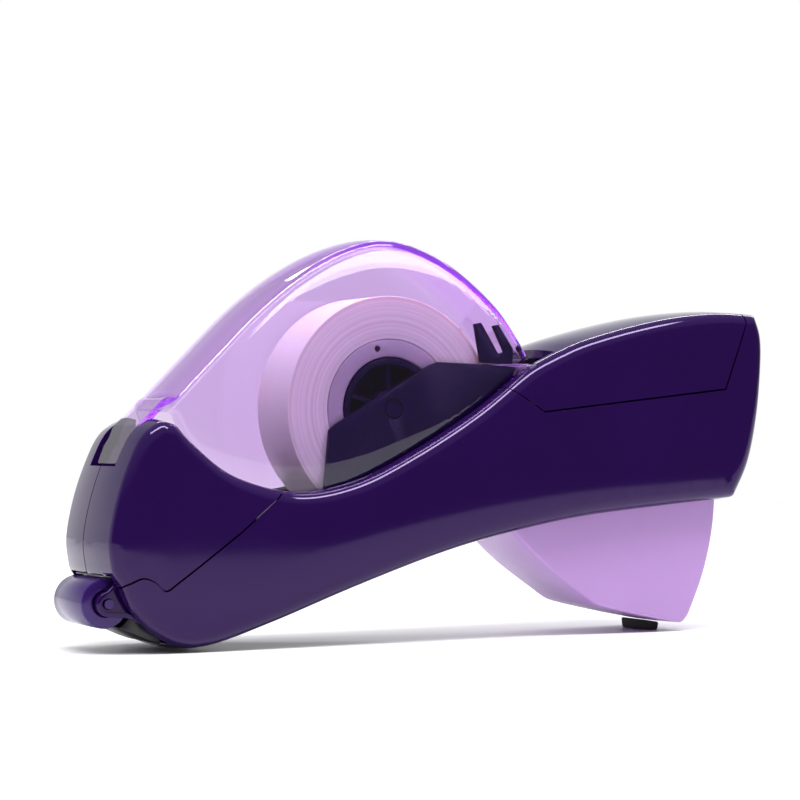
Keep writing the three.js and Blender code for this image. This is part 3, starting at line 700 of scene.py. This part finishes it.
def nose_region(line):
    return prism("nose region", [*line, (-44.2, 75), (-100, 75), (-100, line[0][1])], -20, 20)


def cap_region(gap=0.0):
    (ax, az), (bx, bz), (cx, cz), (dx, dz) = CAP_SEAM
    line = [(ax - gap, az), (bx, bz - gap), (cx + gap, cz - gap), (dx + gap, dz)]
    return prism("cap region", [*line, (dx + gap, 95), (ax - gap, 95)], -20, 20)


def half_space(side, seam):
    y = sorted((side * seam / 2, side * 30))
    return prism("half", [(-120, -20), (120, -20), (120, 120), (-120, 120)], *y)


class ShellSizes(bpy.types.PropertyGroup):
    colour: FloatVectorProperty(name="Colour", description="Colour of the glossy outer shells",
                                default=linear("#1F073E")[:3], subtype="COLOR", min=0, max=1)
    seam: FloatProperty(name="Seam", description="Gap between neighbouring shells",
                        default=0.4 * MM, unit="LENGTH")


class DISPENSER_OT_shells(bpy.types.Operator):
    """Builds the two body shells, the two nose shells and the handle cap"""
    bl_idname = "dispenser.shells"
    bl_label = "Housing shells"

    def execute(self, context):
        seam = millimetres(context.scene.dispenser_shells.seam)
        skin = body_skin()
        whole = hollow_body(skin)
        gloss = finish_of("gloss purple ABS, moulded")
        nose = cut(copy_of(whole, "nose"), nose_region(split_line()), "INTERSECT")
        cap = cut(copy_of(whole, "handle_cap_visual"), cap_region(), "INTERSECT")
        cut(whole, nose_region(split_line(seam / 2, -seam)))
        cut(whole, cap_region(seam))
        settle(skin_normals(cap, [(skin, 1)]), "housing", "purple_plastic", gloss, "handle_cap")
        for source, kind in ((whole, "body"), (nose, "nose")):
            for side, word in ((-1, "left"), (1, "right")):
                half = cut(copy_of(source, f"{word}_{kind}_visual"), half_space(side, seam), "INTERSECT")
                if side > 0:
                    drill_screws(half, kind)
                settle(skin_normals(half, [(skin, 1)]), "housing", "purple_plastic", gloss,
                       f"{word}_{kind}_shell")
            bpy.data.objects.remove(source)
        return {"FINISHED"}


SCREWS = [f"body_screw_{i}" for i in range(1, 6)]


def drill_screws(shell, kind):
    """Counterbores for the screw heads, the first in the nose and the others in the body."""
    for name in (SCREWS[:1] if kind == "nose" else SCREWS[1:]):
        hole = lathe("counterbore", middle(name), [(0, 13.7), (2.6, 13.7), (2.6, 19), (0, 19)], 48)
        cut(shell, hole)
        sleeve = lathe("sleeve", middle(name), [(1.4, 12.0), (3.6, 12.0), (3.6, 16.2), (2.6, 16.2),
                                                (2.6, 13.7), (1.4, 13.7)], 48)
        cut(shell, sleeve, "UNION")


# ------------------------------------------------------------------ clear cover
class CoverSizes(bpy.types.PropertyGroup):
    wall: FloatProperty(name="Wall", description="Thickness of the clear cover",
                        default=1.7 * MM, unit="LENGTH")
    colour: FloatVectorProperty(name="Dye", description="Light that the cover's plastic lets through",
                                default=linear("#B80CDC")[:3], subtype="COLOR", min=0, max=1)


class DISPENSER_OT_cover(bpy.types.Operator):
    """Builds the clear hinged cover with its front tab"""
    bl_idname = "dispenser.cover"
    bl_label = "Clear cover"

    def execute(self, context):
        wall = millimetres(context.scene.dispenser_cover.wall)
        skirt = [(x, z - COVER_SKIRT_DROP) for x, z in spline([(-69.4, 53.5), *RIM[1:-1][::-1]], 1.0)]
        top = spline(COVER_TOP, 0.8)
        outline = [*top, COVER_TOP[-1], *skirt, (21, 62), (29, 64.8)]
        outer = Skin(outline, COVER_HALF, 2.6, 0.7, 0.5, 12.0, step=0.6, corner=2.2)
        roof = [*top, COVER_TOP[-1], (-76, 50), (-60, 14), (20, 14), (27, 58)]
        inner = Skin([tuple(p) for p in inset(roof, wall)], COVER_HALF - wall, 1.4, 0.5, 0.4, 12.0,
                     step=0.6, corner=0.8)
        cover = make("clear_cover_visual", *outer.mesh())
        cut(cover, make("inside", *inner.mesh()))
        tab = [(-67.2, 60.4), (-71.6, 58.4), (-77.8, 52.3), (-80.6, 47.9), (-82.5, 43.4),
               (-81, 43.2), (-79.1, 47.2), (-76.4, 51.2), (-72.6, 55.2), (-67.5, 58.8)]
        cut(cover, bevelled(prism("tab", tab, -8, 8), 0.35, 2), "UNION")
        for name, radius, half, how in (("knuckle", PIN_RADIUS + 1.6, COVER_HALF, "UNION"),
                                        ("bore", PIN_RADIUS + 0.3, COVER_HALF + 1, "DIFFERENCE")):
            cut(cover, rod(name, COVER_PIVOT, radius, half), how)
        cover.visible_shadow = False
        settle(skin_normals(cover, [(outer, 1), (inner, -1)]), "cover", "clear_lilac_plastic",
               finish_of("clear lilac polystyrene, moulded"), "clear_cover")
        return {"FINISHED"}


# ------------------------------------------------------------------ trigger
class TriggerSizes(bpy.types.PropertyGroup):
    wall: FloatProperty(name="Wall", description="Thickness of the hollow trigger's sides",
                        default=1.8 * MM, unit="LENGTH")
    colour: FloatVectorProperty(name="Colour", description="Colour of the trigger",
                                default=linear("#B18AC7")[:3], subtype="COLOR", min=0, max=1)


class DISPENSER_OT_trigger(bpy.types.Operator):
    """Builds the hollow lilac trigger lever and its rubber foot"""
    bl_idname = "dispenser.trigger"
    bl_label = "Trigger"

    def execute(self, context):
        rear = arc(TRIGGER_PIVOT, TRIGGER_REACH, -24, 2.2, 30)
        front = spline([(19, 25.4), (28, 17.4), (40.6, 8.6)], 1) + spline(
            [(40.6, 8.6), (44, 6.9), (55.2, 4.3), (64.2, 2.5), (68.6, 1.9)], 1)
        outline = [*front, (68.6, 1.9), (70.6, 4), *rear, (60, 38), (30, 38), (19.5, 40.4),
                   *arc(TRIGGER_PIVOT, 5.6, 50, 215, 20)]
        skin = Skin(outline, TRIGGER_HALF, 1.1, 0.25, 0.15, 12.0, step=0.8, corner=0.7)
        lever = make("trigger_visual", *skin.mesh())
        wall = millimetres(context.scene.dispenser_trigger.wall)
        inside = TRIGGER_HALF - wall
        hollow = [*[(x + 0.8, z + 1.25) for x, z in front], (68.1, 3.4), (69, 5),
                  *[(x - wall, z) for x, z in rear], (76.8, 60), (-6, 60), (-6, 33),
                  (11.5, 32.8)]
        cut(lever, prism("hollow", hollow, -inside, inside))
        front_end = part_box("trigger")[0].x / MM
        teeth = prism("sector", sector_outline(front_end), inside, TRIGGER_HALF - 0.05)
        cut(lever, teeth, "UNION")
        cut(lever, rod("hole", TRIGGER_PIVOT, PIN_RADIUS + 0.3))
        settle(skin_normals(lever, [(skin, 1)]), "trigger_lever", "lilac_plastic",
               finish_of("satin lilac ABS, moulded"), "trigger")
        foot = bevelled(prism("trigger_foot_visual", [(61.9, 0), (65.4, 0), (65.8, 2), (61.6, 2.7)],
                              -6, 6), 0.5)
        settle(foot, "trigger_lever", "rubber", finish_of("black rubber, moulded"), "trigger_foot")
        return {"FINISHED"}


SECTOR_TEETH = 50
SECTOR_ROOT = 19.1
SECTOR_PITCH_RADIUS = 20.0
SECTOR_TIP = 20.6
SECTOR_FIRST = 188


def sector_outline(front_end):
    """The toothed sector in front of the pivot, five straight-flanked teeth one pitch apart."""
    tip = max(TRIGGER_PIVOT[0] - front_end, SECTOR_TIP)
    pitch = math.degrees(2 * math.pi / SECTOR_TEETH)
    tooth = ((SECTOR_ROOT, 2.6), (SECTOR_PITCH_RADIUS, 1.5), (tip, 0.8),
             (tip, -0.8), (SECTOR_PITCH_RADIUS, -1.5), (SECTOR_ROOT, -2.6))
    points = []
    for k in range(4, -1, -1):
        heading = SECTOR_FIRST - k * pitch
        for radius, spread in tooth:
            points += arc(TRIGGER_PIVOT, radius, heading - spread, heading - spread, 0)
    return [*points, *arc(TRIGGER_PIVOT, 3, 240, 240, 0), *arc(TRIGGER_PIVOT, 3, 100, 100, 0)]


# ------------------------------------------------------------------ roll, core and hub
def rounded_ring(inner, outer, half, edge):
    """A ring section (radius, y) with its four corners rounded."""
    points = []
    corners = ((outer - edge, -half + edge, -90), (outer - edge, half - edge, 0),
               (inner + edge, half - edge, 90), (inner + edge, -half + edge, 180))
    for r, y, start in corners:
        points += arc((r, y), edge, start, start + 90, 4)
    return points


class DISPENSER_OT_roll(bpy.types.Operator):
    """Builds the tape roll, its core ring and the spoked hub"""
    bl_idname = "dispenser.roll"
    bl_label = "Tape roll"

    def execute(self, context):
        film = lathe("tape_roll_visual", ROLL_CENTRE,
                     rounded_ring(CORE_OUTER + 0.05, ROLL_RADIUS, TAPE_HALF, 0.15), 192)
        settle(smooth(film), "spool", "tape_film", finish_of("adhesive film, wound"), "tape_roll")
        core = lathe("tape_core_visual", ROLL_CENTRE,
                     rounded_ring(CORE_INNER, CORE_OUTER, TAPE_HALF, 0.5), 160)
        hole = arc(ROLL_CENTRE, 15, 104, 104, 0)[0]
        cut(core, rod("index hole", hole, 0.8, segments=32))
        settle(smooth(core), "spool", "core_plastic", finish_of("core polystyrene, moulded"),
               "tape_core")
        half = TAPE_HALF - 0.2
        rim = CORE_INNER - 0.3
        spokes = 5
        hub = lathe("tape_hub_visual", ROLL_CENTRE, rounded_ring(rim - 1.6, rim, half, 0.4), 128)
        cut(hub, lathe("boss", ROLL_CENTRE, rounded_ring(2.5, 4.6, half, 0.4), 64), "UNION")
        cut(hub, lathe("web", ROLL_CENTRE, rounded_ring(4.2, rim - 0.9, 0.6, 0.1), 128), "UNION")
        for k in range(spokes):
            angle = 90 + 360 / spokes * k
            a, b = arc(ROLL_CENTRE, 3.9, angle, angle, 0)[0], arc(ROLL_CENTRE, rim - 0.8, angle, angle, 0)[0]
            across = Vector((b[1] - a[1], a[0] - b[0])).normalized() * 0.65
            corners = [(a[0] - across.x, a[1] - across.y), (a[0] + across.x, a[1] + across.y),
                       (b[0] + across.x, b[1] + across.y), (b[0] - across.x, b[1] - across.y)]
            cut(hub, bevelled(prism("spoke", corners, -half + 1, half - 1), 0.25, 2), "UNION")
        settle(smooth(hub), "spool", "satin_purple_plastic", finish_of("satin purple ABS, moulded"),
               "tape_hub")
        return {"FINISHED"}


# ------------------------------------------------------------------ inner frame
PLATE = [(-78, 13.5), (-66, 13.2), (-45, 13.2), (-25, 17.6), (-5, 23.6), (6, 27.2), (7.2, 34),
         (15, 45.5), (17.5, 50), (17.5, 60), (21, 66.9), (12, 67.5), (-0.9, 67.9), (-3.1, 67.1),
         (-28.4, 52.7), (-30, 51.3), (-30.6, 45.3), (-31.8, 33.6), (-56, 33), (-57.5, 39), (-66, 39),
         (-68, 31), (-76, 30), (-78.5, 24)]
STOP = [(11, 67.9), (20, 67.6), (20.2, 71.4), (16, 77.4), (14.4, 77), (17.6, 70.6), (16, 70.2),
        (11.2, 77.8), (9.2, 77.4)]


class DISPENSER_OT_inner_frame(bpy.types.Operator):
    """Builds the two frame plates beside the roll and the roll stops behind it"""
    bl_idname = "dispenser.inner_frame"
    bl_label = "Inner frame"

    def execute(self, context):
        satin = finish_of("satin purple ABS, moulded")
        for side, word in ((-1, "left"), (1, "right")):
            faces = sorted((side * PLATE_IN, side * PLATE_OUT))
            plate = prism(f"{word}_frame_visual", PLATE, *faces)
            holes = [("hub_axle", 2.5), ("feed_axle", 1.8), ("cutter_pin", 1.8)]
            if side > 0:
                holes += [(f"gear_pin_{k}", 1.3) for k in range(1, 5)]
            for node, radius in holes:
                cut(plate, rod("hole", middle(node), radius, segments=32))
            settle(bevelled(plate, 0.3), "housing", "satin_purple_plastic", satin,
                   f"{word}_frame_plate")
            stop = prism(f"{word}_roll_stop_visual", STOP, *faces)
            settle(bevelled(stop, 0.3), "housing", "satin_purple_plastic", satin, f"{word}_roll_stop")
        return {"FINISHED"}


# ------------------------------------------------------------------ nose roller
class DISPENSER_OT_nose_roller(bpy.types.Operator):
    """Builds the nose roller, its two arms and the black block behind it"""
    bl_idname = "dispenser.nose_roller"
    bl_label = "Nose roller"

    def execute(self, context):
        r, half = PRESS_RADIUS, PRESS_HALF
        profile = [(1.4, -half + 1.6), (2.6, -half + 1.6), (2.9, -half + 0.3), (3.2, -half),
                   (r - 0.7, -half), (r - 0.2, -half + 0.2), (r, -half + 0.7), (r, half - 0.7),
                   (r - 0.2, half - 0.2), (r - 0.7, half), (3.2, half), (2.9, half - 0.3),
                   (2.6, half - 1.6), (1.4, half - 1.6)]
        roller = lathe("press_roller_visual", PRESS_CENTRE, profile, 128)
        settle(smooth(roller, 35), "nose_roller", "roller_plastic",
               finish_of("purple roller plastic, moulded"), "press_roller")
        arm_in = half + 0.4
        outline = [*arc(PRESS_CENTRE, 2.9, 100, 260, 24), (-82, 8.2), (-75.4, 5.6), (-74.4, 9),
                   (-79.3, 13), (-82, 16.3), (-84.6, 16.4)]
        web = [*arc(PRESS_CENTRE, 2.0, 110, 250, 18), (-82, 9.3), (-75.6, 6.9), (-75.2, 8.6),
               (-80, 12.6), (-82.5, 15.3), (-84.4, 15.4)]
        for side, word in ((-1, "left"), (1, "right")):
            faces = sorted((side * arm_in, side * (arm_in + 2.2)))
            arm = bevelled(prism(f"{word}_roller_arm_visual", outline, *faces), 0.4)
            pocket = sorted((side * (arm_in + 1.3), side * (arm_in + 4)))
            cut(arm, prism("pocket", web, *pocket))
            cut(arm, rod("hole", PRESS_CENTRE, 1.3, segments=32))
            settle(smooth(arm), "housing", "purple_plastic", finish_of("gloss purple ABS, moulded"),
                   f"{word}_roller_arm")
        block = [*arc(PRESS_CENTRE, r + 0.7, -62, -4, 12), (-77, 11.2), (-73.4, 8.6), (-72.6, 2.4),
                 (-73, 1.7), (-76, 2.7), (-79.4, 4.2)]
        nose = bevelled(prism("nose_block_visual", block, -half - 0.1, half + 0.1), 0.4)
        settle(nose, "housing", "black_plastic", finish_of("satin black ABS, moulded"), "nose_block")
        return {"FINISHED"}


# ------------------------------------------------------------------ screws and carried-over parts
class DISPENSER_OT_screws(bpy.types.Operator):
    """Builds the pan-head screws with their cross recesses"""
    bl_idname = "dispenser.screws"
    bl_label = "Screws"

    def execute(self, context):
        for name in SCREWS:
            place = middle(name)
            profile = [(0, -7), (0.5, -6), (1.1, -4.4), (1.1, 14), (2.3, 14), (2.3, 14.8),
                       (1.9, 15.3), (1.2, 15.55), (0, 15.6)]
            screw = lathe(f"{name}_visual", place, profile, 48)
            x, z = place
            for dx, dz in ((1.4, 0.3), (0.3, 1.4)):
                slot = [(x - dx, z - dz), (x + dx, z - dz), (x + dx, z + dz), (x - dx, z + dz)]
                cut(screw, prism("recess", slot, 14.6, 17))
            settle(smooth(screw), "housing", "steel", finish_of("steel, drawn"), name)
        return {"FINISHED"}


class DISPENSER_OT_inner_parts(bpy.types.Operator):
    """Gives the carried-over gears, pins, springs and cutter their finishes"""
    bl_idname = "dispenser.inner_parts"
    bl_label = "Gears, pins and cutter"

    def execute(self, context):
        slots = {s["node"]: s["material_slot"] for s in frame["record"]["subparts"]}
        for name, node in frame["nodes"].items():
            finish = finish_of(NODE_FINISHES[slots[name]])
            if not node.material_slots:
                node.data.materials.append(finish)
            for socket in node.material_slots:
                socket.material = finish
        return {"FINISHED"}


# ------------------------------------------------------------------ stage
CAMERA_PLACE = (-0.2832, -0.5502, 0.0501)
CAMERA_TURN = math.radians(26.75)
CAMERA_RISE = 0.014
CAMERA_FOCAL_MM = 112.3
FLOOR_SIDE, FLOOR_NEAR, FLOOR_FAR = 6000, -450, 1000


class StageLook(bpy.types.PropertyGroup):
    fill: FloatProperty(name="Fill", description="Brightness of the studio around the object",
                        default=1.0, min=0.0)
    wash: FloatProperty(name="Wash", description="Strength of the even light from the ceiling",
                        default=1.65, min=0.0)
    key: FloatProperty(name="Key", description="Power of the overhead soft box in watts",
                       default=9.0, min=0.0)


def area(name, place, aim, width, height, watts):
    """A white rectangular lamp that faces a point."""
    light = bpy.data.lights.new(name, "AREA")
    light.shape = "RECTANGLE"
    light.size, light.size_y, light.energy = width, height, watts
    lamp = bpy.data.objects.new(name, light)
    lamp.location = place
    lamp.rotation_euler = (Vector(aim) - Vector(place)).to_track_quat("-Z", "Y").to_euler()
    bpy.context.scene.collection.objects.link(lamp)
    return lamp


class DISPENSER_OT_stage(bpy.types.Operator):
    """Lays the floor, hangs the lights and sets the camera"""
    bl_idname = "dispenser.stage"
    bl_label = "Stage"

    def execute(self, context):
        look = context.scene.dispenser_stage
        corners = [(-FLOOR_SIDE, FLOOR_NEAR, 0), (FLOOR_SIDE, FLOOR_NEAR, 0),
                   (FLOOR_SIDE, FLOOR_FAR, 0), (-FLOOR_SIDE, FLOOR_FAR, 0)]
        floor = make("floor", corners, [(0, 1, 2, 3)])
        floor.data.materials.append(finish_of("studio sweep, matt"))
        world = bpy.data.worlds.new("studio")
        world.use_nodes = True
        tree = world.node_tree
        tree.nodes.clear()
        place = add(tree, "ShaderNodeTexCoord")
        axes = add(tree, "ShaderNodeSeparateXYZ", Vector=place.outputs["Generated"])
        ceiling = add(tree, "ShaderNodeMapRange", {"interpolation_type": "SMOOTHSTEP",
                      "From Min": 0.28, "From Max": 0.55, "To Max": 0.45}, Value=axes.outputs["Z"])
        sweep = add(tree, "ShaderNodeMapRange", {"interpolation_type": "SMOOTHSTEP",
                    "From Min": 0.0, "From Max": 0.45}, Value=axes.outputs["Y"])
        fall = add(tree, "ShaderNodeMapRange", {"From Min": 0.12, "From Max": 0.5, "To Min": 1.0,
                   "To Max": 0.5}, Value=axes.outputs["Z"])
        paper = add(tree, "ShaderNodeMath", {"operation": "MULTIPLY"},
                    input_0=sweep.outputs["Result"], input_1=fall.outputs["Result"])
        white = add(tree, "ShaderNodeMath", {"operation": "MAXIMUM"},
                    input_0=ceiling.outputs["Result"], input_1=paper.outputs["Value"])
        tones = [(0.0, (0.12, 0.12, 0.13, 1)), (0.55, (0.5, 0.5, 0.52, 1)), (1.0, (1, 1, 1, 1))]
        sky = add(tree, "ShaderNodeValToRGB", {"stops": tones}, Fac=white.outputs["Value"])
        path = add(tree, "ShaderNodeLightPath")
        seen = add(tree, "ShaderNodeMix", {"data_type": "RGBA", 7: (1, 1, 1, 1)},
                   input_0=path.outputs["Is Camera Ray"], input_6=sky.outputs["Color"])
        back = add(tree, "ShaderNodeBackground", {"Strength": look.fill}, Color=seen.outputs[2])
        add(tree, "ShaderNodeOutputWorld", Surface=back.outputs["Background"])
        context.scene.world = world
        area("overhead strip box", (-0.05, -0.25, 0.95), (0, 0, 0.05), 1.1, 0.2, look.key * 1.5)
        sparkle = area("cover soft box", (0.53, -1.03, 0.36), (0, 0, 0.08), 0.6, 0.16, look.key * 0.28)
        covers = bpy.data.collections.new("lit by the cover soft box")
        covers.objects.link(bpy.data.objects["clear_cover_visual"])
        sparkle.light_linking.receiver_collection = covers
        area("rear strip box", (0.5, 0.78, 0.8), (0, 0, 0.06), 1.1, 0.07, look.key * 0.5)
        wash = bpy.data.objects.new("ceiling wash", bpy.data.lights.new("ceiling wash", "SUN"))
        wash.data.energy, wash.data.angle = look.wash, math.radians(70)
        wash.visible_glossy = False
        context.scene.collection.objects.link(wash)
        lens = bpy.data.cameras.new("camera")
        lens.lens, lens.sensor_width, lens.clip_end = CAMERA_FOCAL_MM, 36, 20
        camera = bpy.data.objects.new("camera", lens)
        camera.location = CAMERA_PLACE
        ahead = Vector((math.sin(CAMERA_TURN) * math.cos(CAMERA_RISE),
                        math.cos(CAMERA_TURN) * math.cos(CAMERA_RISE), math.sin(CAMERA_RISE)))
        camera.rotation_euler = ahead.to_track_quat("-Z", "Y").to_euler()
        context.scene.collection.objects.link(camera)
        context.scene.camera = camera
        context.scene.view_settings.view_transform = "Standard"
        return {"FINISHED"}


class DISPENSER_PT_panel(bpy.types.Panel):
    """Lists the steps that build the dispenser"""
    bl_idname = "DISPENSER_PT_panel"
    bl_label = "Tape dispenser"
    bl_space_type = "VIEW_3D"
    bl_region_type = "UI"
    bl_category = "Dispenser"

    def draw(self, context):
        for group in GROUPS:
            settings = getattr(context.scene, group)
            for name in settings.bl_rna.properties.keys():
                if name not in ("rna_type", "name"):
                    self.layout.prop(settings, name)
        for step in STEPS:
            self.layout.operator(step.bl_idname)


STEPS = (DISPENSER_OT_inner_parts, DISPENSER_OT_shells, DISPENSER_OT_cover, DISPENSER_OT_trigger,
         DISPENSER_OT_roll, DISPENSER_OT_inner_frame, DISPENSER_OT_nose_roller, DISPENSER_OT_screws,
         DISPENSER_OT_stage)
GROUPS = {"dispenser_shells": ShellSizes, "dispenser_cover": CoverSizes,
          "dispenser_trigger": TriggerSizes, "dispenser_stage": StageLook}


def register():
    for made in (*GROUPS.values(), *STEPS, DISPENSER_PT_panel):
        bpy.utils.register_class(made)
    for name, group in GROUPS.items():
        setattr(bpy.types.Scene, name, PointerProperty(type=group))


def unregister():
    for name in GROUPS:
        delattr(bpy.types.Scene, name)
    for made in (DISPENSER_PT_panel, *reversed(STEPS), *GROUPS.values()):
        bpy.utils.unregister_class(made)


def main():
    register()
    for step in STEPS:
        family, name = step.bl_idname.split(".")
        getattr(getattr(bpy.ops, family), name)()


if __name__ == "__main__":
    main()
